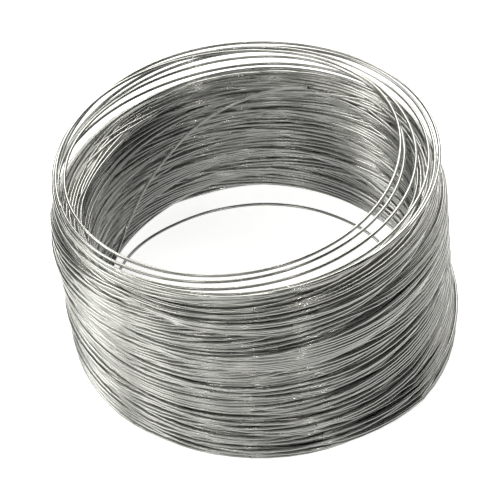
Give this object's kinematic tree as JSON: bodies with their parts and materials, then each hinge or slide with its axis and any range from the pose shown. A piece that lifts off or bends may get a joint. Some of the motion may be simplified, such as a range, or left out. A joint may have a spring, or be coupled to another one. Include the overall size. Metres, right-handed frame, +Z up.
{
  "type": "coil of galvanised wire",
  "caption": "Open coil of bright galvanised steel wire: close turns wound into a short thick ring with an open bore, its upper end leaning and the top turns sprung loose.",
  "frame": {"origin": "centre of the coil's bore, on the floor the coil rests on", "axes": "+Z up along the bore axis, -Y towards the camera of the picture, +X to the right in the picture"},
  "size_m": [0.1448, 0.1448, 0.0734],
  "materials": {
    "galvanised_wire": "bright zinc coat, satin"
  },
  "bodies": {
    "root": {"wound_body": "galvanised_wire", "loose_turns": "galvanised_wire"}
  },
  "joints": []
}
